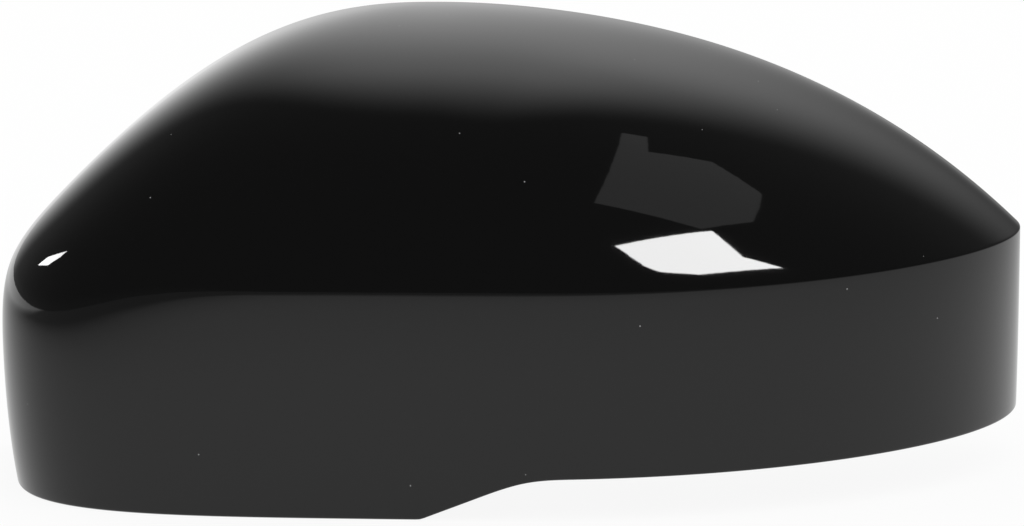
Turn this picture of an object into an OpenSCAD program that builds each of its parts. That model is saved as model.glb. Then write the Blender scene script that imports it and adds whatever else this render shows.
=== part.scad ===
// Wing mirror cover: one injection moulding that clips over a door mirror housing.
// Left-hand cover. X runs outboard to the pointed end, Y runs rearwards to the rim that meets
// the mirror glass side, Z is up. The origin is the middle of the main locating peg.
// The skin is the zero level of one smooth function: a dome and a band that meet at the crease.

/* [Plan outline at the crease] */
// Reach from the dome's high point to the inboard end
reach_in = 112; // [104:0.5:120]
// Reach from the dome's high point to the outboard end of the full curve, which the rim cuts short
reach_out = 161.5; // [150:0.5:175]
// Depth from the dome's high line to the foremost point
depth_front = 107; // [98:0.5:114]
// Distance of the high line in front of the rim plane
high_setback = 2.5; // [0:0.5:6]
// Turn of the plan outline about the high point, in degrees
plan_turn = 2.4; // [0:0.1:5]
// Squareness of the inboard end along X, where 2 is an ellipse
square_in_x = 3.9; // [3:0.1:4.4]
// Squareness of the inboard end along Y, where 2 is an ellipse
square_in_y = 4.25; // [3.2:0.05:4.6]
// Squareness of the outboard end, where 2 is an ellipse
square_out = 2; // [2:0.05:2.3]
// Length over which the inboard form turns into the outboard form
blend_len = 34; // [26:1:44]

/* [Dome] */
// Height of the dome above the crease
dome_h = 64.8; // [58:0.2:70]
// Depth below the crease at which the inboard side would stand upright
lean_in_depth = 86; // [70:1:100]
// Bow of the inboard side, where 1 is the least
lean_in_bow = 1; // [1:0.05:1.4]
// Roundness of the inboard side towards the top
lean_in_round = 1.92; // [1.7:0.02:2.2]
// Depth below the crease at which the outboard side would stand upright
lean_out_depth = 74; // [60:1:90]
// Bow of the outboard side
lean_out_bow = 1.36; // [1.1:0.02:1.7]
// Roundness of the outboard side towards the top
lean_out_round = 2.3; // [2:0.02:2.5]
// Depth below the crease at which the front would stand upright
lean_front_depth = 7.8; // [5:0.2:14]
// Bow of the front
lean_front_bow = 2.24; // [2:0.02:2.4]
// Roundness of the front towards the top
lean_front_round = 2.28; // [2.1:0.02:2.4]

/* [Crease and band] */
// Height of the band below the crease
band_h = 48; // [42:0.5:54]
// Rise of the crease at the outboard end
crease_rise = 4.5; // [0:0.25:8]
// X at which the crease starts to rise
rise_start = -12.5; // [-40:0.5:30]
// Blend of dome into band along the front, which sets how sharp the crease is
crease_soft = 0.2; // [0.2:0.1:2]
// Blend of dome into band round the inboard end
corner_soft = 21.5; // [14:0.5:24]
// X at which the sharp crease has faded halfway into the soft corner
fade_x = -82.5; // [-92:0.5:-70]
// Length over which it fades
fade_len = 9; // [6:0.5:12]
// How far the band tucks in at the bottom of the inboard end
tuck_in = 5; // [2:0.25:8]
// How far the band tucks in at the bottom of the outboard end
tuck_out = 0.25; // [0:0.25:3]
// Bow of the band over its height
tuck_bow = 2.9; // [2:0.1:3.4]

/* [Lower edge] */
// Extra depth of the skirt on the inboard side of the step
skirt_extra = 10.5; // [6:0.5:14]
// X of the skirt's outboard corner
step_x = -2; // [-12:0.5:8]
// Length of the slope that climbs from the skirt to the shallow edge
step_len = 27; // [20:0.5:36]
// Rise of the lower edge at the outboard end
edge_rise = 3; // [0:0.25:6]
// Radius of the lower edge's corners at the rim
corner_r = 4; // [2:0.5:6]

/* [Wall] */
// Wall thickness
wall = 2.6; // [2.2:0.1:3.2]
// Rounding of the outer edge all round the opening
edge_round = 0.7; // [0.4:0.1:1]
// Wall left at the rabbet that the housing's edge seats in
lip_wall = 1.5; // [1.2:0.1:1.8]
// Depth of the rabbet
rabbet = 3; // [2:0.25:4]

/* [Ribs] */
// X of each upright stiffening rib
rib_x = [-78, -40, 40, 84]; // [-110:0.5:120]
// Height of a rib above the inner face
rib_h = 6; // [4:0.5:9]
// Thickness of a rib
rib_t = 1.6; // [1.2:0.1:2]
// Height below the crease of the level rib along the front
long_rib_z = 30; // [20:1:36]

/* [Clips] */
// X of each clip under the top edge
top_clip_x = [-58, 6, 66]; // [-100:0.5:100]
// X of each clip behind the lower edge
low_clip_x = [-60, 22, 96]; // [-100:0.5:120]
// Width of a clip's tongue
clip_w = 12; // [8:0.5:16]
// Thickness of a clip's tongue
clip_t = 2.2; // [1.8:0.1:3]
// Length of a clip's tongue
clip_len = 18; // [14:0.5:24]
// Height of the catch at the end of a tongue
catch_h = 2; // [1:0.1:3]
// Gap between a top clip's tongue and the skin above it
clip_gap = 5; // [4:0.25:8]

/* [Locating pegs] */
// Diameter of the main peg
peg_d = 6; // [4:0.1:8]
// Diameter of the second peg
peg2_d = 5; // [4:0.1:8]
// Length of a peg's straight shank
peg_len = 12; // [8:0.5:18]
// Length of a peg's tapered tip
peg_tip = 2; // [1:0.25:3]
// Diameter of the boss that carries a peg
boss_d = 13; // [10:0.5:16]
// Distance from the rim plane to the middle of a peg's shank
peg_set = 80; // [70:0.5:84]
// X of the second peg
peg2_x = 54; // [44:0.5:60]
// Height of the crease above the axis of the pegs
crease_up = 12; // [8:0.5:18]

/* [Hidden] */

// How far a rib, boss or clip runs into the wall that carries it
embed = 1;
// How far the foremost point of a peg's boss runs into the wall
boss_seat = 0.3;
// Softness of the lower and the upper corner of the step in the lower edge
step_low_soft = 0.5;
step_top_soft = 5;
// Share of a peg's diameter left at its blunt end
tip_blunt = 0.6;
rim_y = peg_set;
high_y = rim_y - high_setback;
// Length over which the crease and the lower edge rise
rise_len = reach_out - rise_start;

// Columns of the skin round the high point, closest at the inboard corner and at the step
cols_in = 24;
cols_step = 16;
cols_out = 24;
angle_step_from = 80;
angle_step_to = 110;
// Extra columns at both ends, for the rounded corners of the opening
angle_end = 2.2;
end_parts = [0, 0.2, 0.5];
col_angles = concat(
    [for (t = end_parts) angle_end * t],
    [for (i = [0:cols_in - 1]) mix_of(angle_end, angle_step_from, i / cols_in)],
    [for (i = [0:cols_step - 1]) mix_of(angle_step_from, angle_step_to, i / cols_step)],
    [for (i = [0:cols_out]) mix_of(angle_step_to, 180 - angle_end, i / cols_out)],
    [for (i = [len(end_parts) - 1:-1:0]) 180 - angle_end * end_parts[i]]);
// Rows of the skin: down the band, through the crease's blend and up the dome
band_rows = [1, 0.8, 0.6, 0.4, 0.2];
blend_rows = [-1, -0.5, -0.2, 0, 0.2, 0.5, 1];
dome_rows = [0.04, 0.1, 0.17, 0.24, 0.31, 0.38, 0.45, 0.52, 0.59, 0.66, 0.73, 0.8, 0.87, 0.94];
n_cols = len(col_angles);
n_rows = len(band_rows) + len(blend_rows) + len(dome_rows);

// Smooth step from 0 to 1
function ramp(t) = 1 / (1 + exp(-max(-40, min(40, t))));
// Share of the outboard form at a distance from the high point
function outboard(u) = ramp(u / blend_len);
function mix_of(a, b, t) = a + (b - a) * t;
// Height of the crease at x
function crease_z(x) = crease_rise * pow(max(0, (x - rise_start) / rise_len), 3);
// How much of the plan is left at a height above the crease
function shrink(z, top, below, bow, round) =
    let (t = max(0, min(1, (z + below) / (top + below))), t0 = below / (top + below))
    pow(max(1e-12, 1 - pow(t, bow)) / (1 - pow(t0, bow)), 1 / round);
// Distance-like measure in plan from the outline with the given reaches: 0 on it, above 0 outside
plan_unit = 100;
plan_power = 2.5;
function plan_level(u, v, reach, depth, sx, sy) =
    plan_unit * (pow(pow(abs(u) / reach, sx) + pow(abs(v) / depth, sy), 1 / plan_power) - 1);
// The larger of two levels, rounded where they are within k of each other
function soft_max(a, b, k) =
    let (h = max(0, k - abs(a - b)) / k) max(a, b) + h * h * h * k / 6;
// Climb of the lower edge from the skirt, with a tight lower corner and an easy upper one
function step_up(x) =
    let (low = soft_max(0, skirt_extra * (x - step_x) / step_len, step_low_soft))
    -soft_max(-skirt_extra, -low, step_top_soft);
// Lift of the lower edge near the rim, which rounds the corners of the opening
function corner_lift(back) =
    let (d = max(0, corner_r - back)) corner_r - sqrt(corner_r * corner_r - d * d);
// Height of the lower edge at x, at a distance in front of the rim's plane
function edge_z(x, back) =
    -band_h - skirt_extra + step_up(x) + corner_lift(back)
    + edge_rise * pow(max(0, (x - rise_start) / rise_len), 3);
// The skin's function at a point: w is the depth below the outer face
function skin(p, w) =
    let (dx = p[0], dy = p[1] - high_y,
         u = dx * cos(plan_turn) - dy * sin(plan_turn),
         v = dx * sin(plan_turn) + dy * cos(plan_turn),
         s = outboard(u),
         z = p[2] - crease_z(p[0]),
         top = dome_h - w,
         sx = mix_of(square_in_x, square_out, s),
         sy = mix_of(square_in_y, square_out, s),
         r_in = reach_in - w, r_out = reach_out - w, r_front = depth_front - w)
    z >= top - 1e-9 ? 1 :
    let (dome = plan_level(u, v,
             mix_of(r_in * shrink(z, top, lean_in_depth, lean_in_bow, lean_in_round),
                    r_out * shrink(z, top, lean_out_depth, lean_out_bow, lean_out_round), s),
             r_front * shrink(z, top, lean_front_depth, lean_front_bow, lean_front_round), sx, sy),
         down = max(0, -z / (band_h + skirt_extra)),
         band = plan_level(u, v, mix_of(r_in, r_out, s), r_front, sx, sy)
             + mix_of(tuck_in, tuck_out, s) * pow(down, tuck_bow),
         soft = mix_of(crease_soft, corner_soft, ramp((fade_x - p[0]) / fade_len)))
    soft_max(dome, band, soft + w);

// Point where the skin crosses a ray from o along d
function march(o, d, w, lo, hi, n) =
    let (m = (lo + hi) / 2)
    n == 0 ? o + m * d :
    skin(o + m * d, w) > 0 ? march(o, d, w, lo, m, n - 1) : march(o, d, w, m, hi, n - 1);
march_far = 260;
march_steps = 24;
function hit(o, d, w) = march(o, d, w, 0, march_far, march_steps);
// Point of the skin on a level ray at an angle round the high point, in front of the plane y
function level_hit(a, z, y, w) = hit([0, y, z], [-cos(a), -sin(a), 0], w);
// Point of the skin on a ray that climbs by c degrees
function climb_hit(a, c, z, y, w) = hit([0, y, z], [-cos(a) * cos(c), -sin(a) * cos(c), sin(c)], w);

// One column of the skin, from the lower edge to the last row under the high point
function column(a, w, back) =
    let (y = rim_y - back,
         foot = level_hit(a, 0, y, w),
         zc = crease_z(foot[0]),
         low = edge_z(foot[0], y - foot[1]) + back,
         soft = mix_of(crease_soft, corner_soft, ramp((fade_x - foot[0]) / fade_len)) + w,
         reach = max(0.6, 0.9 * soft),
         below = min(reach, 0.3 * (zc - low)),
         span = norm([foot[0], foot[1] - y]),
         start = atan(reach / span))
    concat(
        [for (t = band_rows) level_hit(a, mix_of(zc - below, low, t), y, w)],
        [for (t = blend_rows) level_hit(a, zc + (t < 0 ? below : reach) * t, y, w)],
        [for (t = dome_rows) climb_hit(a, mix_of(start, 90, t), zc * (1 - t), y, w)]);
// All the points of one face: the columns, then the high point
function face_points(w, back) =
    concat([for (a = col_angles) each column(a, w, back)], [[0, rim_y - back, dome_h - w]]);
// Numbers of the points round the opening: up the inboard rim, down the outboard one, back below
function rim_loop() = concat(
    [for (j = [0:n_rows - 1]) j],
    [n_cols * n_rows],
    [for (j = [n_rows - 1:-1:0]) (n_cols - 1) * n_rows + j],
    [for (i = [n_cols - 2:-1:1]) i * n_rows]);
// The points of one loop between the faces: the opening's edge at depth w and set back by back
function loop_points(w, back) =
    let (first = column(0, w, back), last = column(180, w, back))
    concat(first, [[0, rim_y - back, dome_h - w]], [for (j = [n_rows - 1:-1:0]) last[j]],
        [for (i = [n_cols - 2:-1:1])
            let (a = col_angles[i], y = rim_y - back, foot = level_hit(a, 0, y, w))
            level_hit(a, edge_z(foot[0], y - foot[1]) + back, y, w)]);

// The hollow shell as one closed solid
module skin_shell() {
    outer = face_points(0, edge_round);
    inner = face_points(wall, rabbet);
    loops = [loop_points(edge_round, 0), loop_points(lip_wall, 0), loop_points(lip_wall, rabbet)];
    count = len(outer);
    ring = len(loops[0]);
    edge = rim_loop();
    // Number of the point k along loop s, where loop 0 is the outer face's edge and 4 the inner's
    function at(s, k) =
        let (m = k % ring)
        s == 0 ? edge[m] : s == 4 ? count + edge[m] : 2 * count + (s - 1) * ring + m;
    function quad(a, b, c, d) = [[a, b, c], [a, c, d]];
    sheet = [for (i = [0:n_cols - 2], j = [0:n_rows - 2])
        each quad(i * n_rows + j, i * n_rows + j + 1, (i + 1) * n_rows + j + 1, (i + 1) * n_rows + j)];
    cap = [for (i = [0:n_cols - 2])
        [(i + 1) * n_rows - 1, n_cols * n_rows, (i + 2) * n_rows - 1]];
    face = concat(sheet, cap);
    strips = [for (s = [0:3], k = [0:ring - 1])
        each quad(at(s, k), at(s + 1, k), at(s + 1, k + 1), at(s, k + 1))];
    polyhedron(
        points = concat(outer, inner, loops[0], loops[1], loops[2]),
        faces = concat(face, [for (f = face) [f[0] + count, f[2] + count, f[1] + count]], strips));
}

// Outline of the inner face in the upright plane at x, seen along X: pairs of (y, z)
function upright_cut(x, w, from, to, steps) =
    [for (i = [0:steps])
        let (c = mix_of(from, to, i / steps), p = hit([x, rim_y - rabbet, 0], [0, -cos(c), sin(c)], w))
        [p[1], p[2]]];
rib_low_angle = -22;
rib_high_angle = 76;
rib_steps = 22;
// Upright rib that follows the inner face from the band over the front to the top
module upright_rib(x) {
    outer = upright_cut(x, wall - embed, rib_low_angle, rib_high_angle, rib_steps);
    inner = upright_cut(x, wall + rib_h, rib_high_angle, rib_low_angle, rib_steps);
    translate([x - rib_t / 2, 0, 0]) rotate([90, 0, 90]) linear_extrude(rib_t)
        polygon(concat(outer, inner));
}

// Outline of the inner face at a height, seen from above: pairs of (x, y)
function level_cut(z, w, from, to, steps) =
    [for (i = [0:steps]) let (p = level_hit(mix_of(from, to, i / steps), z, rim_y, w)) [p[0], p[1]]];
long_rib_from = 24;
long_rib_to = 158;
long_rib_steps = 30;
// Level rib along the front of the band
module long_rib() {
    outer = level_cut(-long_rib_z, wall - embed, long_rib_from, long_rib_to, long_rib_steps);
    inner = level_cut(-long_rib_z, wall + rib_h, long_rib_to, long_rib_from, long_rib_steps);
    translate([0, 0, -long_rib_z - rib_t / 2]) linear_extrude(rib_t) polygon(concat(outer, inner));
}

// Y of the inner face straight ahead of a point, at depth w in the wall
function front_y(x, z, w) = hit([x, rim_y - rabbet, z], [0, -1, 0], w)[1];
// Z of the inner face straight above a point, at depth w in the wall
function top_z(x, y, w) = hit([x, y, 0], [0, 0, 1], w)[2];

// Clip's tongue, lying on z = 0 from its roots at y_left and y_right to a catch at y_end
module tongue(y_left, y_right, y_end) {
    linear_extrude(clip_t)
        polygon([[-clip_w / 2, y_left], [-clip_w / 2, y_end], [clip_w / 2, y_end], [clip_w / 2, y_right]]);
    translate([-clip_w / 2, y_end, 0]) rotate([90, 0, 90]) linear_extrude(clip_w)
        polygon([[-catch_len, clip_t / 2], [0, clip_t / 2], [0, clip_t], [-catch_len * 0.7, clip_t + catch_h],
                 [-catch_len, clip_t + catch_h]]);
}
catch_len = 4;

// Clip under the top edge: two webs hang it from the skin and the tongue runs back to the rim
module top_clip(x) {
    front = rim_y - rabbet - clip_len - web_len;
    root = front + web_len;
    z = min(top_z(x - clip_w / 2, root, wall), top_z(x + clip_w / 2, root, wall),
            top_z(x - clip_w / 2, rim_y - rabbet, wall), top_z(x + clip_w / 2, rim_y - rabbet, wall))
        - clip_gap - clip_t - catch_h;
    translate([x, 0, z]) tongue(front, front, root + clip_len - 1);
    for (side = [-1, 1]) {
        web_x = x + side * (clip_w - rib_t) / 2;
        translate([web_x - rib_t / 2, 0, 0]) rotate([90, 0, 90]) linear_extrude(rib_t)
            polygon([[root + web_len * 0.5, z + clip_t / 2], [front, z + clip_t / 2],
                for (i = [0:web_steps])
                    let (y = mix_of(front, root, i / web_steps)) [y, top_z(web_x, y, wall - embed)]]);
    }
}
web_len = 10;
web_steps = 4;

// Clip behind the lower edge: a tongue that stands straight back from the band, on two gussets
module low_clip(x) {
    z = -band_h * 0.72;
    y_left = front_y(x - clip_w / 2, z, wall - embed);
    y_right = front_y(x + clip_w / 2, z, wall - embed);
    y_end = max(y_left, y_right) + clip_len * 0.8;
    translate([x, 0, z]) tongue(y_left, y_right, y_end);
    for (side = [-1, 1]) {
        web_x = x + side * (clip_w - rib_t) / 2;
        foot_z = z - clip_len * 0.4;
        translate([web_x - rib_t / 2, 0, 0]) rotate([90, 0, 90]) linear_extrude(rib_t)
            polygon([[front_y(web_x, z, wall - embed), z + clip_t / 2], [y_end - catch_len * 1.5, z + clip_t / 2],
                     [y_end - catch_len * 1.5, z], [front_y(web_x, foot_z, wall - embed), foot_z]]);
    }
}

// Locating peg on a boss that stands back from the front wall
module peg(x, d) {
    foot = [for (a = [0:30:330])
        front_y(x + boss_d / 2 * cos(a), -crease_up + boss_d / 2 * sin(a), wall - boss_seat)];
    translate([x, 0, -crease_up]) rotate([-90, 0, 0]) {
        translate([0, 0, min(foot)]) cylinder(h = -peg_len / 2 - min(foot), d = boss_d, $fn = 48);
        translate([0, 0, -peg_len / 2 - embed]) cylinder(h = peg_len + embed, d = d, $fn = 48);
        translate([0, 0, peg_len / 2]) cylinder(h = peg_tip, d1 = d, d2 = d * tip_blunt, $fn = 48);
    }
}

module cover_shell() color([0.03, 0.03, 0.033]) translate([0, 0, crease_up]) union() {
    skin_shell();
    for (x = rib_x) upright_rib(x);
    long_rib();
    for (x = top_clip_x) top_clip(x);
    for (x = low_clip_x) low_clip(x);
    peg(0, peg_d);
    peg(peg2_x, peg2_d);
}

cover_shell();
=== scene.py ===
# %% [markdown]
# # A gloss black wing mirror cover
# The cover is one injection moulding that clips over the housing of a door mirror. Outside it is
# painted and polished, inside it is raw black plastic with ribs, clips and two locating pegs.
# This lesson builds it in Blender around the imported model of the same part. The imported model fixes
# the sizes, and the lesson gives the same surface a much finer mesh, rounded edges and its finishes.

import math

import bmesh
import bpy
import numpy as np
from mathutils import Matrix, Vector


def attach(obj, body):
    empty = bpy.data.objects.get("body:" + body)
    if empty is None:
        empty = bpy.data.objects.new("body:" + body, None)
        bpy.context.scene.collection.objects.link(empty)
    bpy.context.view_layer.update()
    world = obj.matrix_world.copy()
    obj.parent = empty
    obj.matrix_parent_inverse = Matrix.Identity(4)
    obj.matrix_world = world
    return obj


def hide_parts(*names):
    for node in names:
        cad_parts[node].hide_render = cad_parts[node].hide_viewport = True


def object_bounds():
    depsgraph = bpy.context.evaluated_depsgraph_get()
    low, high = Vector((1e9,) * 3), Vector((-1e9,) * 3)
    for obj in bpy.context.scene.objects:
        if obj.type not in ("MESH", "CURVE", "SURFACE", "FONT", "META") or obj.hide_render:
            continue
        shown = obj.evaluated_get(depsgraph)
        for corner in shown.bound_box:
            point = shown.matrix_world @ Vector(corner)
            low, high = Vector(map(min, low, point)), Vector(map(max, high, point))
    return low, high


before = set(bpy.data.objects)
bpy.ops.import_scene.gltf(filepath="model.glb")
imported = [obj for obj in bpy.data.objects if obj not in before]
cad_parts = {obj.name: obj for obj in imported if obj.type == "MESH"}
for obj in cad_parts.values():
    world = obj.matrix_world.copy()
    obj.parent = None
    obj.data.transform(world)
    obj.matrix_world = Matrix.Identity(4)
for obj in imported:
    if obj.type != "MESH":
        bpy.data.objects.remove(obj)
model_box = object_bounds()
print("packed model, lowest and highest corner in metres:", model_box)

# %% [markdown]
# ## The camera
# The camera stands 1.2 m in front of the cover and looks slightly down on it through a long lens,
# so the cover fills the frame without looking stretched. A camera in Blender looks along its own
# -Z axis, so turned by 90 degrees about X it looks level along +Y.

# %% Camera
LOOK_AT = (0.0215, 0.0290, 0.0116)
CAMERA_DISTANCE = 1.2
CAMERA_DROP = math.radians(8.3)
SENSOR_WIDTH = 36.0
PIXELS_WIDE, PIXELS_HIGH = 1024, 526
FOCAL_PIXELS = 4518


def add_camera():
    lens = bpy.data.cameras.new("camera")
    lens.sensor_width = SENSOR_WIDTH
    lens.lens = SENSOR_WIDTH * FOCAL_PIXELS / PIXELS_WIDE
    camera = bpy.data.objects.new("camera", lens)
    camera.location = (
        LOOK_AT[0],
        LOOK_AT[1] - CAMERA_DISTANCE * math.cos(CAMERA_DROP),
        LOOK_AT[2] + CAMERA_DISTANCE * math.sin(CAMERA_DROP),
    )
    camera.rotation_euler = (math.radians(90) - CAMERA_DROP, 0, 0)
    bpy.context.collection.objects.link(camera)
    bpy.context.scene.camera = camera
    return camera


camera = add_camera()
print("lens in mm:", round(camera.data.lens, 1), "camera at", [round(c, 3) for c in camera.location])

# %% [markdown]
# ## The sizes
# These are the moulding's driving sizes in millimetres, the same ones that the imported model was
# made from. X runs outboard to the pointed end, Y runs back to the open rim and Z is up. The shape
# is written with the crease between dome and band at a height of 0, and the whole cover then moves
# up by CREASE_UP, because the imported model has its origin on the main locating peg. The packed
# model's facets cut the curves a little short, so the finer painted face lies FACE_IN deeper and
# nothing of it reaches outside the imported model's box.

# %% Sizes of the skin
REACH_IN, REACH_OUT, DEPTH_FRONT = 112, 161.5, 107
HIGH_SETBACK, PLAN_TURN, BLEND_LEN = 2.5, math.radians(2.4), 34
SQUARE_IN_X, SQUARE_IN_Y, SQUARE_OUT = 3.9, 4.25, 2
PLAN_UNIT, PLAN_POWER = 100, 2.5
DOME_H = 64.8
LEAN_IN = dict(below=86, bow=1, round=1.92)
LEAN_OUT = dict(below=74, bow=1.36, round=2.3)
LEAN_FRONT = dict(below=7.8, bow=2.24, round=2.28)
BAND_H, CREASE_RISE, RISE_START = 48, 4.5, -12.5
CREASE_SOFT, CORNER_SOFT, FADE_X, FADE_LEN = 0.2, 21.5, -82.5, 9
TUCK_IN, TUCK_OUT, TUCK_BOW = 5, 0.25, 2.9
SKIRT_EXTRA, STEP_X, STEP_LEN, EDGE_RISE, CORNER_R = 10.5, -2, 27, 3, 4
STEP_LOW_SOFT, STEP_TOP_SOFT = 0.5, 5
WALL, EDGE_ROUND, LIP_WALL, RABBET = 2.6, 0.7, 1.5, 3
FACE_IN = 0.03
RIM_Y, CREASE_UP = 80, 12
HIGH_Y = RIM_Y - HIGH_SETBACK
RISE_LEN = REACH_OUT - RISE_START


def metres(points):
    """Points in the moulding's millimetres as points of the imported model."""
    return (np.asarray(points, float) + (0, 0, CREASE_UP)) / 1000


# %% [markdown]
# ## The skin as a function
# A gloss surface shows every dent, so its shape has to be smooth in a way that hand-placed points
# rarely are. Here the shape is the zero level of one function of x, y and z: below 0 is inside the
# moulding, above 0 is outside. In plan it is a superellipse, squarer at the inboard end and rounder
# outboard. The dome shrinks that plan with height, the band keeps it and tucks in at the bottom, and
# a soft maximum joins the two: tightly along the front, where it gives the sharp crease, and widely
# round the inboard end, where the crease fades away. NumPy works out thousands of points at once.


# %% Small functions of the shape
def ramp(t):
    return 1 / (1 + np.exp(-np.clip(t, -40, 40)))


def blend_of(a, b, t):
    return a + (b - a) * t


def soft_max(a, b, k):
    near = np.maximum(0, k - np.abs(a - b)) / k
    return np.maximum(a, b) + near**3 * k / 6


def rise_share(x):
    return np.maximum(0, (x - RISE_START) / RISE_LEN) ** 3


def crease_z(x):
    return CREASE_RISE * rise_share(x)


def crease_blend(x):
    return blend_of(CREASE_SOFT, CORNER_SOFT, ramp((FADE_X - x) / FADE_LEN))


def shrink(z, top, below, bow, round):
    start = below / (top + below)
    t = np.clip((z + below) / (top + below), 0, 1)
    return (np.maximum(1e-12, 1 - t**bow) / (1 - start**bow)) ** (1 / round)


def plan_level(u, v, reach, depth, square_x, square_y):
    shares = (np.abs(u) / reach) ** square_x + (np.abs(v) / depth) ** square_y
    return PLAN_UNIT * (shares ** (1 / PLAN_POWER) - 1)


# %% The skin's function
def skin_level(points, depth):
    """The skin's function at points in millimetres, for the face at a depth below the outside."""
    x, y, z = points[..., 0], points[..., 1] - HIGH_Y, points[..., 2]
    u = x * math.cos(PLAN_TURN) - y * math.sin(PLAN_TURN)
    v = x * math.sin(PLAN_TURN) + y * math.cos(PLAN_TURN)
    high, top, outboard = z - crease_z(x), DOME_H - depth, ramp(u / BLEND_LEN)
    square_x = blend_of(SQUARE_IN_X, SQUARE_OUT, outboard)
    square_y = blend_of(SQUARE_IN_Y, SQUARE_OUT, outboard)
    inner, outer, front = REACH_IN - depth, REACH_OUT - depth, DEPTH_FRONT - depth
    dome = plan_level(
        u,
        v,
        blend_of(inner * shrink(high, top, **LEAN_IN), outer * shrink(high, top, **LEAN_OUT), outboard),
        front * shrink(high, top, **LEAN_FRONT),
        square_x,
        square_y,
    )
    down = np.maximum(0, -high / (BAND_H + SKIRT_EXTRA)) ** TUCK_BOW
    band = plan_level(u, v, blend_of(inner, outer, outboard), front, square_x, square_y)
    band = band + blend_of(TUCK_IN, TUCK_OUT, outboard) * down
    level = soft_max(dome, band, crease_blend(x) + depth)
    return np.where(high >= top - 1e-9, 1.0, level)


# %% [markdown]
# ## Finding points of the skin
# A ray starts inside the moulding, where the function is below 0, and ends far outside. Halving
# the stretch between again and again closes in on the point where the ray crosses the skin. All
# the rays are halved together, so tens of thousands of points take a moment.

# %% Crossing of rays with the skin
RAY_LENGTH = 260
HALVINGS = 40


def crossing(origin, direction, depth):
    """Where rays that start inside the moulding leave the face at a depth."""
    origin, direction = np.broadcast_arrays(np.asarray(origin, float), np.asarray(direction, float))
    near = np.zeros(origin.shape[:-1])
    far = near + RAY_LENGTH
    for _ in range(HALVINGS):
        middle = (near + far) / 2
        outside = skin_level(origin + middle[..., None] * direction, depth) > 0
        far = np.where(outside, middle, far)
        near = np.where(outside, near, middle)
    return origin + near[..., None] * direction


def points_of(x, y, z):
    return np.stack(np.broadcast_arrays(np.asarray(x, float), y, z), axis=-1)


def level_crossing(angle, z, y, depth):
    """Where a level ray from the axis of the high point, at an angle from inboard, meets the skin."""
    return crossing(points_of(0, y, z), points_of(-np.cos(angle), -np.sin(angle), 0), depth)


def climbing_crossing(angle, climb, z, y, depth):
    way = points_of(-np.cos(angle) * np.cos(climb), -np.sin(angle) * np.cos(climb), np.sin(climb))
    return crossing(points_of(0, y, z), way, depth)


foremost = level_crossing(math.pi / 2, 0.0, RIM_Y, 0)
print("foremost point of the crease in mm:", np.round(foremost, 2))

# %% [markdown]
# ## The lower edge
# The lower edge steps: a deeper skirt on the inboard half, a slope with a tight lower and an easy
# upper corner, and a shallow edge that rises a little to the outboard end. Near the rim it turns
# up in a small radius, so the opening has rounded corners.


# %% Height of the lower edge
def edge_z(x, back):
    climb = soft_max(0 * x, SKIRT_EXTRA * (x - STEP_X) / STEP_LEN, STEP_LOW_SOFT)
    step = -soft_max(0 * x - SKIRT_EXTRA, -climb, STEP_TOP_SOFT)
    inside = np.maximum(0, CORNER_R - back)
    lift = CORNER_R - np.sqrt(np.maximum(0, CORNER_R**2 - inside**2))
    return step + lift + EDGE_RISE * rise_share(x) - BAND_H - SKIRT_EXTRA


# %% [markdown]
# ## Columns and rows
# The mesh is a fan of columns round the high point. Each column runs up the band, through the
# crease with closer rows, and over the dome. The rows of a column are given as shares, so every
# column has the same number and the faces between two columns are plain quads.

# %% Points of one face of the moulding
END_ANGLE = 2.2
STEP_ANGLES = (80, 110)
END_SHARES = [0, 0.1, 0.2, 0.35, 0.5, 0.75]
STOPS = (END_ANGLE, *STEP_ANGLES, 180 - END_ANGLE)
COLUMN_COUNTS = (91, 55, 89)
BAND_ROWS = np.linspace(1, 0, 25)[:-1]
BLEND_ROWS = np.sign(np.linspace(-1, 1, 21)) * np.abs(np.linspace(-1, 1, 21)) ** 1.5
DOME_ROWS = np.linspace(0, 1, 91)[1:-1]
ROWS = len(BAND_ROWS) + len(BLEND_ROWS) + len(DOME_ROWS)
LEAST_BLEND, BLEND_SHARE, BELOW_SHARE = 0.6, 0.9, 0.3


def column_angles():
    ends = END_ANGLE * np.array(END_SHARES)
    front, step, rear = [np.linspace(*span) for span in zip(STOPS[:-1], STOPS[1:], COLUMN_COUNTS)]
    return np.radians(np.concatenate([ends, front[:-1], step[:-1], rear, 180 - ends[::-1]]))


ANGLES = column_angles()
COLUMNS = len(ANGLES)


def column_grid(angles, depth, back):
    """Points of columns at the angles, in an array of columns by rows."""
    y = RIM_Y - back
    angle = np.asarray(angles)[:, None]
    foot = level_crossing(angle, 0 * angle, y, depth)
    crease = crease_z(foot[..., 0])
    low = edge_z(foot[..., 0], y - foot[..., 1]) + back
    above = np.maximum(LEAST_BLEND, BLEND_SHARE * (crease_blend(foot[..., 0]) + depth))
    below = np.minimum(above, BELOW_SHARE * (crease - low))
    band = level_crossing(angle, blend_of(crease - below, low, BAND_ROWS), y, depth)
    reach = np.where(BLEND_ROWS < 0, below, above)
    blend = level_crossing(angle, crease + reach * BLEND_ROWS, y, depth)
    high = blend[:, -1:]
    start = np.arctan(above / np.hypot(high[..., 0], high[..., 1] - y))
    climb = blend_of(start, math.pi / 2, DOME_ROWS)
    dome = climbing_crossing(angle, climb, crease * (1 - DOME_ROWS), y, depth)
    return np.concatenate([band, blend, dome], axis=1)


def high_point(depth, back):
    return np.array([[0, RIM_Y - back, DOME_H - depth]])


outer_grid = column_grid(ANGLES, FACE_IN, EDGE_ROUND)
print("outer face:", outer_grid.shape[0], "columns by", outer_grid.shape[1], "rows")

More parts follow.
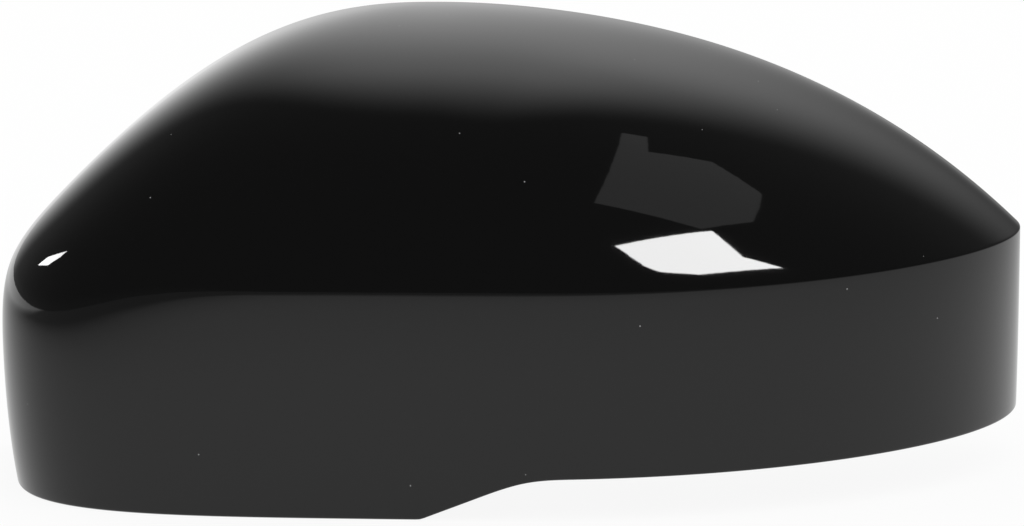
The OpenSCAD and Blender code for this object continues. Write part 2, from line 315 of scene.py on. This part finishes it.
# %% [markdown]
# ## The edge of the opening
# A moulding never ends in a knife edge. Seen in section, the wall rounds over from the painted
# face to its end, runs across a thin lip, and steps back into a rabbet in which the housing's edge
# seats. Each corner of that section becomes a loop of points round the whole opening, at a depth
# below the outside and a distance back from the rim. The paint reaches over the rounded edge and
# the three corners of the lip.

# %% Loops round the opening
ROUND_STEPS = 5
LIP_CORNERS = 3
PAINTED_LOOPS = ROUND_STEPS + LIP_CORNERS
SMALL_ROUND = 0.25
ROUND_MIDDLE = 0.3 * SMALL_ROUND


def section_corners():
    """Depth and setback of each loop, from the painted face to the inner face."""
    turns = [math.pi / 2 * i / ROUND_STEPS for i in range(1, ROUND_STEPS + 1)]
    rounded = [
        (FACE_IN + EDGE_ROUND * (1 - math.cos(turn)), EDGE_ROUND * (1 - math.sin(turn)))
        for turn in turns
    ]
    lip = [
        (LIP_WALL - SMALL_ROUND, 0),
        (LIP_WALL - ROUND_MIDDLE, ROUND_MIDDLE),
        (LIP_WALL, SMALL_ROUND),
    ]
    seat = [
        (LIP_WALL, RABBET - SMALL_ROUND),
        (LIP_WALL + ROUND_MIDDLE, RABBET - ROUND_MIDDLE),
        (LIP_WALL + SMALL_ROUND, RABBET),
        (WALL - SMALL_ROUND, RABBET),
    ]
    return rounded + lip + seat


def loop_points(depth, back):
    ends = column_grid([0, math.pi], depth, back)
    angles = ANGLES[-2:0:-1]
    foot = level_crossing(angles, 0 * angles, RIM_Y - back, depth)
    low = edge_z(foot[:, 0], RIM_Y - back - foot[:, 1]) + back
    bottom = level_crossing(angles, low, RIM_Y - back, depth)
    return np.concatenate([ends[0], high_point(depth, back), ends[1][::-1], bottom])


INNER_BACK = RABBET + SMALL_ROUND
inner_grid = column_grid(ANGLES, WALL, INNER_BACK)
loops = [loop_points(depth, back) for depth, back in section_corners()]
print("loops round the opening:", len(loops), "of", len(loops[0]), "points")

# %% [markdown]
# ## From points to a mesh
# A mesh needs its points in one list and, for each face, the numbers of its corners. The outer
# face, the loops and the inner face go into one closed mesh, so the wall has a real thickness
# wherever it is seen. The faces on the painted side get the first material, the rest the second.


# %% Faces of the moulding
def face_quads():
    """Corner numbers of the quads of one face, and of the triangles at its high point."""
    column, row = np.meshgrid(np.arange(COLUMNS - 1), np.arange(ROWS - 1), indexing="ij")
    first = (column * ROWS + row).ravel()
    quads = np.stack([first, first + ROWS, first + ROWS + 1, first + 1], axis=1)
    last = np.arange(COLUMNS - 1) * ROWS + ROWS - 1
    cap = np.stack([last, last + ROWS, np.full_like(last, COLUMNS * ROWS)], axis=1)
    return quads, cap


def rim_numbers():
    """Numbers of one face's points round the opening, in the order of the loops."""
    return np.concatenate(
        [
            np.arange(ROWS),
            [COLUMNS * ROWS],
            (COLUMNS - 1) * ROWS + np.arange(ROWS)[::-1],
            np.arange(COLUMNS - 2, 0, -1) * ROWS,
        ]
    )


def mesh_object(name, points, faces):
    mesh = bpy.data.meshes.new(name)
    mesh.from_pydata(metres(points).tolist(), [], faces)
    mesh.validate()
    mesh.polygons.foreach_set("use_smooth", [True] * len(mesh.polygons))
    made = bpy.data.objects.new(name, mesh)
    bpy.context.collection.objects.link(made)
    return made


def build_skin():
    flat_outer = np.concatenate([outer_grid.reshape(-1, 3), high_point(FACE_IN, EDGE_ROUND)])
    flat_inner = np.concatenate([inner_grid.reshape(-1, 3), high_point(WALL, INNER_BACK)])
    points = np.concatenate([flat_outer, flat_inner] + loops)
    count, ring = len(flat_outer), len(loops[0])
    quads, cap = face_quads()
    numbers = [rim_numbers()]
    numbers += [2 * count + i * ring + np.arange(ring) for i in range(len(loops))]
    numbers += [count + rim_numbers()]
    strips = []
    for one, two in zip(numbers[:-1], numbers[1:]):
        strips.append(np.stack([one, np.roll(one, -1), np.roll(two, -1), two], axis=1))
    painted = quads.tolist() + cap.tolist() + np.concatenate(strips[:PAINTED_LOOPS]).tolist()
    raw = np.concatenate(strips[PAINTED_LOOPS:]).tolist()
    raw += (quads[:, ::-1] + count).tolist() + (cap[:, ::-1] + count).tolist()
    skin = mesh_object("cover_skin", points, painted + raw)
    slots = np.ones(len(skin.data.polygons), dtype=np.int32)
    slots[: len(painted)] = 0
    return skin, slots


skin, skin_slots = build_skin()
print("skin:", len(skin.data.vertices), "points,", len(skin.data.polygons), "faces")

# %% [markdown]
# ## Ribs
# Thin ribs stiffen the moulding without thick walls. Each one is a strip between two rails: one
# rail runs just inside the wall, the other follows the inner face at the rib's height. Giving the
# strip a thickness to both sides and rounding its edges with a Bevel modifier makes a moulded rib.

# %% Strips with a thickness
RIB_X, RIB_H, RIB_T, LONG_RIB_Z = (-78, -40, 40, 84), 6, 1.6, 30
RIB_ANGLES, LONG_RIB_ANGLES = (-22, 76), (24, 158)
RIB_STATIONS, LONG_RIB_STATIONS = 45, 70
EMBED = 1
inside_points, inside_faces = [], []


def add_strip(rail_a, rail_b, thick):
    """A closed strip between two rails, as thick as the vector thick, added to the inside's mesh."""
    rail_a, rail_b = np.asarray(rail_a, float), np.asarray(rail_b, float)
    half = np.asarray(thick, float) / 2
    first, stations = len(inside_points), len(rail_a)
    for a, b in zip(rail_a, rail_b):
        inside_points.extend([a - half, a + half, b + half, b - half])
    for i in range(stations - 1):
        here = first + 4 * i
        for k in range(4):
            inside_faces.append((here + k, here + (k + 1) % 4, here + 4 + (k + 1) % 4, here + 4 + k))
    end = first + 4 * (stations - 1)
    inside_faces.append((first + 3, first + 2, first + 1, first))
    inside_faces.append((end, end + 1, end + 2, end + 3))


def add_upright_rib(x):
    turn = np.radians(np.linspace(*RIB_ANGLES, RIB_STATIONS))
    start = points_of(x, RIM_Y - RABBET, 0 * turn)
    way = points_of(0, -np.cos(turn), np.sin(turn))
    add_strip(crossing(start, way, WALL - EMBED), crossing(start, way, WALL + RIB_H), (RIB_T, 0, 0))


def add_long_rib():
    angle = np.radians(np.linspace(*LONG_RIB_ANGLES, LONG_RIB_STATIONS))
    foot = level_crossing(angle, -LONG_RIB_Z, RIM_Y, WALL - EMBED)
    add_strip(foot, level_crossing(angle, -LONG_RIB_Z, RIM_Y, WALL + RIB_H), (0, 0, RIB_T))


for x in RIB_X:
    add_upright_rib(x)
add_long_rib()
print("ribs:", len(RIB_X), "upright and 1 level")

# %% [markdown]
# ## Clips
# The cover is held by sprung tongues, each with a catch at its end that snaps behind an edge of the
# housing. The catch has a straight face towards the cover's front, which holds, and a slope at the
# rim side, over which it slides on. The upper tongues hang on two webs from the dome, the lower
# ones stand straight back from the band on two gussets.

# %% Tongues, webs and gussets
TOP_CLIP_X, LOW_CLIP_X = (-58, 6, 66), (-60, 22, 96)
CLIP_W, CLIP_T, CLIP_LEN, CLIP_GAP, CLIP_BACK = 12, 2.2, 18, 5, 1
WEB_LEN, WEB_RUN, WEB_STATIONS = 10, 5, 9
CATCH_H, CATCH_LEN, CATCH_FLAT = 2, 4, 1.2
LOW_CLIP_Z, LOW_CLIP_LEN, GUSSET_STOP, GUSSET_DROP = 34.56, 14.4, 6, 7.2


def front_y(x, z, depth):
    return crossing(points_of(x, RIM_Y - RABBET, z), (0, -1, 0), depth)[..., 1]


def top_z(x, y, depth):
    return crossing(points_of(x, y, 0), (0, 0, 1), depth)[..., 2]


def add_tongue(x, z, y_left, y_right, y_end):
    left, right = x - CLIP_W / 2, x + CLIP_W / 2
    middle = z + CLIP_T / 2
    left_rail = [(left, y_left, middle), (left, y_end, middle)]
    right_rail = [(right, y_right, middle), (right, y_end, middle)]
    add_strip(left_rail, right_rail, (0, 0, CLIP_T))
    stations = [(y_end - CATCH_LEN, CATCH_H), (y_end - CATCH_LEN + CATCH_FLAT, CATCH_H), (y_end, 0)]
    low = [(x, y, middle) for y, _ in stations]
    high = [(x, y, z + CLIP_T + rise) for y, rise in stations]
    add_strip(low, high, (CLIP_W, 0, 0))


def add_top_clip(x):
    front = RIM_Y - RABBET - CLIP_LEN - WEB_LEN
    root = front + WEB_LEN
    sides = np.array([x - CLIP_W / 2, x + CLIP_W / 2])
    lowest = min(top_z(sides, root, WALL).min(), top_z(sides, RIM_Y - RABBET, WALL).min())
    z = lowest - CLIP_GAP - CLIP_T - CATCH_H
    add_tongue(x, z, front, front, root + CLIP_LEN - CLIP_BACK)
    for side in (-1, 1):
        web_x = x + side * (CLIP_W - RIB_T) / 2
        y = np.linspace(front, root, WEB_STATIONS)
        low = points_of(web_x, np.linspace(front, root + WEB_RUN, WEB_STATIONS), z + CLIP_T / 2)
        add_strip(low, points_of(web_x, y, top_z(web_x, y, WALL - EMBED)), (RIB_T, 0, 0))


def add_low_clip(x):
    z = -LOW_CLIP_Z
    y_left, y_right = front_y(np.array([x - CLIP_W / 2, x + CLIP_W / 2]), z, WALL - EMBED)
    y_end = max(y_left, y_right) + LOW_CLIP_LEN
    add_tongue(x, z, y_left, y_right, y_end)
    foot_z = z - GUSSET_DROP
    for side in (-1, 1):
        web_x = x + side * (CLIP_W - RIB_T) / 2
        far = y_end - GUSSET_STOP
        high = [(web_x, front_y(web_x, z, WALL - EMBED), z + CLIP_T / 2), (web_x, far, z + CLIP_T / 2)]
        low = [(web_x, front_y(web_x, foot_z, WALL - EMBED), foot_z), (web_x, far, z)]
        add_strip(low, high, (RIB_T, 0, 0))


for x in TOP_CLIP_X:
    add_top_clip(x)
for x in LOW_CLIP_X:
    add_low_clip(x)
print("clips:", len(TOP_CLIP_X), "upper and", len(LOW_CLIP_X), "lower")

# %% [markdown]
# ## Locating pegs
# Two pegs on round bosses find holes in the housing before the clips snap in, so the gap round the
# cover comes out even. A peg is a turned shape: a profile of radius and distance, carried round an
# axis in small steps.

# %% Pegs
PEGS = ((0, 6), (54, 5))
PEG_LEN, PEG_TIP, BOSS_D, BOSS_SEAT, TIP_BLUNT, PEG_SIDES = 12, 2, 13, 0.8, 0.6, 48
SIDE_TURNS = 2 * np.pi * np.arange(PEG_SIDES) / PEG_SIDES


def add_turned(x, z, profile):
    """A closed shape turned about the line at x and z along Y. Its y may differ from side to side."""
    first = len(inside_points)
    for radius, y in profile:
        for turn, side_y in zip(SIDE_TURNS, np.broadcast_to(y, SIDE_TURNS.shape)):
            inside_points.append((x + radius * math.cos(turn), side_y, z + radius * math.sin(turn)))
    for i in range(len(profile) - 1):
        here = first + i * PEG_SIDES
        for k in range(PEG_SIDES):
            after = (k + 1) % PEG_SIDES
            inside_faces.append((here + k, here + PEG_SIDES + k, here + PEG_SIDES + after, here + after))
    inside_faces.append(tuple(first + k for k in range(PEG_SIDES)))
    end = first + (len(profile) - 1) * PEG_SIDES
    inside_faces.append(tuple(end + k for k in reversed(range(PEG_SIDES))))


def add_peg(x, width):
    boss, shank, z = BOSS_D / 2, width / 2, -CREASE_UP
    foot = front_y(x + boss * np.cos(SIDE_TURNS), z + boss * np.sin(SIDE_TURNS), WALL - BOSS_SEAT)
    profile = [(boss, foot), (boss, -PEG_LEN / 2), (shank, -PEG_LEN / 2), (shank, PEG_LEN / 2)]
    add_turned(x, z, profile + [(shank * TIP_BLUNT, PEG_LEN / 2 + PEG_TIP)])


for x, width in PEGS:
    add_peg(x, width)
print("pegs:", len(PEGS))

# %% [markdown]
# ## Rounded edges inside
# The mould's edges are broken, so every rib and clip has a small round. The Bevel modifier finds
# the edges by their angle, and Weighted Normal keeps the flat sides flat in the shading.

# %% The inside as one object
INSIDE_ROUND, ROUND_SEGMENTS = 0.00025, 2
EDGE_ANGLE = math.radians(35)


def build_inside():
    made = mesh_object("ribs_and_clips", inside_points, inside_faces)
    solids = bmesh.new()
    solids.from_mesh(made.data)
    bmesh.ops.recalc_face_normals(solids, faces=solids.faces)
    solids.to_mesh(made.data)
    solids.free()
    bevel = made.modifiers.new("broken edges", "BEVEL")
    bevel.width = INSIDE_ROUND
    bevel.segments = ROUND_SEGMENTS
    bevel.limit_method = "ANGLE"
    bevel.angle_limit = EDGE_ANGLE
    weighted = made.modifiers.new("flat sides", "WEIGHTED_NORMAL")
    weighted.keep_sharp = False
    return made


inside = build_inside()
print("inside:", len(inside.data.vertices), "points before rounding")

# %% [markdown]
# ## Shader maths as expressions
# A finish is a graph of nodes. Writing each Math node by hand hides the idea, so a small class
# wraps a socket: adding, multiplying or comparing wrapped sockets adds the Math nodes. Every other
# node comes from one method, which takes the node's type, its settings and its sockets.


# %% A graph of nodes
class Value:
    """The output of a node, which can be used in sums."""

    def __init__(self, graph, socket):
        self.graph = graph
        self.socket = socket

    def maths(self, operation, first, second):
        return self.graph.node("Math", {"operation": operation}, {0: first, 1: second})

    def __add__(self, other):
        return self.maths("ADD", self, other)

    __radd__ = __add__

    def __mul__(self, other):
        return self.maths("MULTIPLY", self, other)

    __rmul__ = __mul__

    def __sub__(self, other):
        return self.maths("SUBTRACT", self, other)

    def __rsub__(self, other):
        return self.maths("SUBTRACT", other, self)

    def __lt__(self, other):
        return self.maths("LESS_THAN", self, other)

    def __gt__(self, other):
        return self.maths("GREATER_THAN", self, other)

    def at_least(self, other):
        return self.maths("MAXIMUM", self, other)

    def degrees_from(self, other):
        """The angle, in degrees, of the direction that goes this far across and other far ahead."""
        return self.maths("ARCTAN2", self, other) * math.degrees(1)

    def output(self, name):
        """Another output of the same node."""
        return Value(self.graph, self.socket.node.outputs[name])


class Graph:
    """The nodes of one material or of the world."""

    def __init__(self, tree):
        self.tree = tree
        tree.nodes.clear()

    def node(self, kind, settings=None, sockets=None, output=0):
        made = self.tree.nodes.new("ShaderNode" + kind)
        for name, value in (settings or {}).items():
            setattr(made, name, value)
        for name, value in (sockets or {}).items():
            if isinstance(value, Value):
                self.tree.links.new(value.socket, made.inputs[name])
            else:
                made.inputs[name].default_value = value
        return Value(self, made.outputs[output]) if made.outputs else None

    def smooth_share(self, value, low, high):
        """0 where value is at low or less, 1 at high or more, smooth between."""
        settings = {"interpolation_type": "SMOOTHSTEP"}
        return self.node("MapRange", settings, {"Value": value, "From Min": low, "From Max": high})


def new_material(name):
    material = bpy.data.materials.new(name)
    material.use_nodes = True
    return material, Graph(material.node_tree)


def greys(value):
    return (value, value, value, 1)


def mixed_greys(g, share, low, high):
    return g.node("Mix", {"data_type": "RGBA"}, {0: share, 6: greys(low), 7: greys(high)}, output=2)


PLASTIC_IOR = 1.5


def add_surface(g, colour, rough, bump):
    sockets = {"Base Color": colour, "Roughness": rough, "IOR": PLASTIC_IOR, "Normal": bump}
    g.node("OutputMaterial", sockets={"Surface": g.node("BsdfPrincipled", sockets=sockets)})


# %% [markdown]
# ## Gloss black paint
# The outside is sprayed gloss black. What the eye sees is almost all reflection: about 4 percent
# head on and much more at a glancing angle, which a Principled shader gives by itself from the
# index of refraction. The paint itself is nearly black. Three things keep it from looking like
# glass: the faint waviness of sprayed paint, slightly uneven polish, and a few specks of dust.


# %% Paint
PAINT_SHADE, DUST_SHADE = 0.0012, 0.3
PEEL = {"Scale": 420.0, "Detail": 1.5, "Roughness": 0.4}
WAVES, WAVES_SHARE = {"Scale": 60.0, "Detail": 1.0}, 2.0
PAINT_BUMP = {"Strength": 0.05, "Distance": 0.00005}
POLISH = {"Scale": 24.0, "Detail": 3.0}
DUST_CELLS = {"Scale": 240.0, "Randomness": 1.0}
SPECK_SIZE, SPECK_PICK = 0.045, 0.91
PAINT_ROUGH, POLISH_ROUGH, DUST_ROUGH = 0.025, 0.02, 0.5


def paint_material():
    material, g = new_material("gloss black paint")
    place = g.node("TexCoord", output=3)
    peel = g.node("TexNoise", sockets={"Vector": place, **PEEL})
    waves = g.node("TexNoise", sockets={"Vector": place, **WAVES})
    bump = g.node("Bump", sockets={"Height": peel + waves * WAVES_SHARE, **PAINT_BUMP})
    polish = g.node("TexNoise", sockets={"Vector": place, **POLISH})
    cells = {"Vector": place, **DUST_CELLS}
    near = g.node("TexVoronoi", {"feature": "F1"}, cells)
    pick = g.node("TexVoronoi", {"feature": "F1"}, cells, output=1)
    red = g.node("SeparateColor", sockets={"Color": pick})
    dust = (near < SPECK_SIZE) * (red > SPECK_PICK)
    rough = PAINT_ROUGH + polish * POLISH_ROUGH + dust * DUST_ROUGH
    add_surface(g, mixed_greys(g, dust, PAINT_SHADE, DUST_SHADE), rough, bump)
    return material


# %% [markdown]
# ## Raw black plastic
# Inside, the plastic is as it left the mould: black with a satin skin from the spark-eroded steel.
# A fine grain in the bump scatters the light, and the sheen changes slowly where the melt cooled
# unevenly. Close to the rim some paint mist lies on it, so it is glossier there in small droplets.


# %% Plastic
PLASTIC_SHADE, MIST_SHADE = 0.03, 0.012
GRAIN = {"Scale": 2600.0, "Detail": 2.0}
COOLING = {"Scale": 18.0, "Detail": 2.0}
DROPLETS = {"Scale": 900.0, "Detail": 1.0}
MIST_FROM_RIM, MIST_EDGE, MIST_MORE = (0.058, 0.078), (0.62, 0.74), 0.35
PLASTIC_ROUGH, COOLING_ROUGH, MIST_GLOSS = 0.4, 0.14, 0.26
GRAIN_BUMP = {"Strength": 0.25, "Distance": 0.00004}


def plastic_material():
    material, g = new_material("raw black plastic")
    place = g.node("TexCoord", output=3)
    grain = g.node("TexNoise", sockets={"Vector": place, **GRAIN})
    cooling = g.node("TexNoise", sockets={"Vector": place, **COOLING})
    back = g.node("SeparateXYZ", sockets={"Vector": place}, output=1)
    rim_share = g.smooth_share(back, *MIST_FROM_RIM)
    droplets = g.node("TexNoise", sockets={"Vector": place, **DROPLETS})
    mist = g.smooth_share(droplets + rim_share * MIST_MORE, *MIST_EDGE)
    rough = PLASTIC_ROUGH + cooling * COOLING_ROUGH - mist * MIST_GLOSS
    bump = g.node("Bump", sockets={"Height": grain, **GRAIN_BUMP})
    add_surface(g, mixed_greys(g, mist, PLASTIC_SHADE, MIST_SHADE), rough, bump)
    return material


paint = paint_material()
plastic = plastic_material()
skin.data.materials.append(paint)
skin.data.materials.append(plastic)
skin.data.polygons.foreach_set("material_index", skin_slots)
inside.data.materials.append(plastic)
print("finishes:", [m.name for m in skin.data.materials])

# %% [markdown]
# ## Floor
# The cover stands on a wide pale floor. Light Path tells the shader who is looking: for the camera
# most of the floor glows plain white, so it melts into the background, and the rest is a real white
# surface that keeps the cover's soft shadow. What the paint mirrors is a painted pool of light: for
# glossy rays the floor glows about three quarters as bright at the pool's middle and an eighth as
# bright a metre away, as if one soft light stood over it. Behind the cover, on the inboard side, a
# brighter patch is painted on in place of the light from the bright wall.

# %% Floor
FLOOR_SIZE = 8.0
FLOOR_GAP = 0.0001
FLOOR_GLOW, FLOOR_SHADE = 0.9, 0.95
# glow of the floor in reflections: a painted pool of light near and far, and painted light from the wall
# behind
PAINTED_POOL_NEAR, PAINTED_POOL_FAR, PAINTED_WALL_LIGHT = 0.76, 0.12, 0.9
POOL_FADE_START, POOL_FADE_END = 0.2, 1.1
PAINTED_POOL_MIDDLE = (0.1, 0, 0)
# where the painted wall light lies on the floor: back from the cover and to the inboard side
WALL_LIGHT_FROM, WALL_LIGHT_SIDE = (0.3, 0.7), (0, 0.06)


def floor_material():
    material, g = new_material("pale floor")
    path = g.node("LightPath")
    glossy = path.output("Is Glossy Ray")
    seen = path.at_least(glossy).at_least(path.output("Is Transmission Ray"))
    place = g.node("TexCoord", output=3)
    away = g.node("VectorMath", {"operation": "DISTANCE"}, {0: place, 1: PAINTED_POOL_MIDDLE}, output=1)
    across = g.node("SeparateXYZ", sockets={"Vector": place})
    far_back = g.smooth_share(across.output("Y"), *WALL_LIGHT_FROM)
    behind = far_back * (1 - g.smooth_share(across, *WALL_LIGHT_SIDE))
    matt = g.node("BsdfDiffuse", sockets={"Color": greys(FLOOR_SHADE)})
    # emission that paints the floor's light for glossy rays: plain white, the painted pool near and far,
    # and the painted wall light
    white, near, far, painted_wall_glow = [
        g.node("Emission", sockets={"Color": greys(1.0), "Strength": level})
        for level in (1.0, PAINTED_POOL_NEAR, PAINTED_POOL_FAR, PAINTED_WALL_LIGHT)
    ]
    fade = g.smooth_share(away, POOL_FADE_START, POOL_FADE_END)
    painted_pool = g.node("MixShader", sockets={0: fade, 1: near, 2: far})
    # behind the cover on the inboard side the painted wall light takes the place of the painted pool
    mirrored = g.node("MixShader", sockets={0: behind, 1: painted_pool, 2: painted_wall_glow})
    glow = g.node("MixShader", sockets={0: glossy, 1: white, 2: mirrored})
    both = g.node("MixShader", sockets={0: seen * FLOOR_GLOW, 1: matt, 2: glow})
    g.node("OutputMaterial", sockets={"Surface": both})
    return material


def add_floor():
    height = model_box[0][2] - FLOOR_GAP
    bpy.ops.mesh.primitive_plane_add(size=FLOOR_SIZE, location=(0, 0, height))
    floor = bpy.context.object
    floor.name = "floor"
    floor.data.materials.append(floor_material())
    return floor


floor = add_floor()
print("floor at a height of", round(floor.location.z, 4), "m")

# %% [markdown]
# ## Studio light
# The camera sees plain white, and matt surfaces get plain white light from all round. A gloss black
# surface is drawn by what it mirrors, so a glossy ray meets a studio instead: a white wall behind
# the cover and a dim room beside and above it. What it meets depends on its direction: how far it
# turns to the outboard or the inboard side of the wall's middle, and how high it points. The wall
# fades into the room between the two angles of each pair, as a lit wall does: WALL_OUTBOARD and
# WALL_INBOARD are its sides, WALL_TALL is its top. From FOOT_SIDE on towards outboard its lower
# part, below WALL_FOOT, lies in the dark too.

# %% World
WALL_TURN = math.radians(8.7)
WALL_OUTBOARD, WALL_INBOARD, WALL_TALL = (0, 42), (9, 43), (53.5, 87)
FOOT_SIDE, WALL_FOOT = (-22, 12), (4, 44)
ROOM_LEVEL, LOW_LEVEL, LOW_TOP = 0.1, 0.02, 0.06


def mirrored_room(g):
    """The studio's brightness in the direction of a ray."""
    along_x = g.node("SeparateXYZ", sockets={"Vector": g.node("TexCoord", output=0)})
    along_y, along_z = along_x.output("Y"), along_x.output("Z")
    side = along_x * math.cos(WALL_TURN) - along_y * math.sin(WALL_TURN)
    ahead = along_x * math.sin(WALL_TURN) + along_y * math.cos(WALL_TURN)
    turned = side.degrees_from(ahead)
    outboard = g.smooth_share(turned, *WALL_OUTBOARD)
    inboard = g.smooth_share(0 - turned, *WALL_INBOARD)
    height = along_z.degrees_from(ahead)
    above = g.smooth_share(height, *WALL_TALL)
    foot = g.smooth_share(turned, *FOOT_SIDE) * (1 - g.smooth_share(height, *WALL_FOOT))
    room = ROOM_LEVEL + LOW_LEVEL * (1 - g.smooth_share(along_z, 0.0, LOW_TOP))
    wall = (1 - outboard) * (1 - inboard) * (1 - above) * (1 - foot)
    return wall + (1 - wall) * room


def studio_world():
    world = bpy.data.worlds.new("studio")
    world.use_nodes = True
    bpy.context.scene.world = world
    g = Graph(world.node_tree)
    glossy = g.node("LightPath").output("Is Glossy Ray")
    strength = glossy * mirrored_room(g) + (1 - glossy)
    light = g.node("Background", sockets={"Color": greys(1.0), "Strength": strength})
    g.node("OutputWorld", sockets={"Surface": light})
    return world


studio_world()
bpy.context.scene.view_settings.view_transform = "Standard"
print("world ready")

# %% [markdown]
# ## Cards in the reflection
# Three flat cards stand round the cover, 1.5 m away, and only the reflections show them: a bright
# window to the outboard side of the camera, a dim panel high above it, and a narrow strip lamp
# beyond the inboard end. What is known of each is the patch that it makes on the gloss, so its
# corners are given as pixels of the 1024 x 526 picture. The script then goes the way of the light
# backwards: from the camera through the pixel to the skin, off the skin as off a mirror, and on to
# the plane of the card. How the skin leans at a point comes from its function, taken NUDGE
# millimetres to each side. The plane faces the cover at an azimuth, from the camera's side towards
# outboard, and an elevation.


# %% From a pixel to the mirrored direction
NUDGE = 0.3


def ways_of(pixels):
    """Unit directions from the camera through pixels, which count from the upper left corner."""
    pixels = np.asarray(pixels, float)
    across = (pixels[:, 0] - PIXELS_WIDE / 2) / FOCAL_PIXELS
    up = (PIXELS_HIGH / 2 - pixels[:, 1]) / FOCAL_PIXELS
    level, drop = math.cos(CAMERA_DROP), math.sin(CAMERA_DROP)
    ways = points_of(across, level + up * drop, up * level - drop)
    return ways / np.linalg.norm(ways, axis=1, keepdims=True)


def seen_points(ways):
    """Where the directions meet the skin, found from the rim's plane back towards the camera."""
    eye = np.array(camera.location) * 1000 - (0, 0, CREASE_UP)
    behind = eye + ways * ((RIM_Y - eye[1]) / ways[:, 1:2])
    return crossing(behind, -ways, FACE_IN)


def mirrored(ways, points):
    """The directions after the skin has mirrored them, from how the skin's function climbs there."""
    steps = NUDGE * np.eye(3)
    ahead, back = points[:, None, :] + steps, points[:, None, :] - steps
    normal = skin_level(ahead, FACE_IN) - skin_level(back, FACE_IN)
    normal /= np.linalg.norm(normal, axis=1, keepdims=True)
    return ways - 2 * np.sum(ways * normal, axis=1, keepdims=True) * normal


middle_way = ways_of([(PIXELS_WIDE / 2, PIXELS_HIGH / 2)])
print("the picture's middle shows the skin at, in mm:", np.round(seen_points(middle_way)[0], 1))

# %% Cards
CARD_DISTANCE = 1.5
WINDOW_SEEN = (
    (615, 246), (690, 233), (712, 231), (743, 257), (783, 268), (699, 275), (660, 272), (644, 266),
)
PANEL_SEEN = (
    (622, 133), (647, 137), (648, 152), (712, 162), (762, 194), (753, 222), (701, 229), (594, 203),
)
LAMP_SEEN = ((38, 265), (48, 257), (67, 251), (60, 257), (48, 265))
CARDS = (
    dict(name="window", azimuth=42, elevation=29, strength=21, seen=WINDOW_SEEN),
    dict(name="dim_panel", azimuth=68, elevation=59, strength=0.5, seen=PANEL_SEEN),
    dict(name="strip_lamp", azimuth=-113, elevation=19, strength=14, seen=LAMP_SEEN),
)


def card_corners(azimuth, elevation, seen):
    turn, rise = math.radians(azimuth), math.radians(elevation)
    level = math.cos(rise)
    facing = np.array([math.sin(turn) * level, -math.cos(turn) * level, math.sin(rise)])
    middle = np.array(LOOK_AT) + CARD_DISTANCE * facing
    ways = ways_of(seen)
    skin_points = seen_points(ways)
    onward, start = mirrored(ways, skin_points), metres(skin_points)
    return start + onward * (((middle - start) @ facing) / (onward @ facing))[:, None]


def add_card(name, azimuth, elevation, strength, seen):
    mesh = bpy.data.meshes.new(name)
    mesh.from_pydata(card_corners(azimuth, elevation, seen).tolist(), [], [range(len(seen))])
    card = bpy.data.objects.new(name, mesh)
    bpy.context.collection.objects.link(card)
    material, g = new_material(name)
    glow = g.node("Emission", sockets={"Color": greys(1.0), "Strength": strength})
    g.node("OutputMaterial", sockets={"Surface": glow})
    mesh.materials.append(material)
    card.visible_camera = card.visible_diffuse = False
    card.visible_transmission = card.visible_shadow = False
    return card


for card in CARDS:
    add_card(**card)
print("cards:", [card["name"] for card in CARDS])

# %% [markdown]
# ## Hand over
# Both pieces ride on the cover's only body and take the place of the imported node.

# %% Finish
for piece in (skin, inside):
    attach(piece, "root")
    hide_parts("cover_shell")
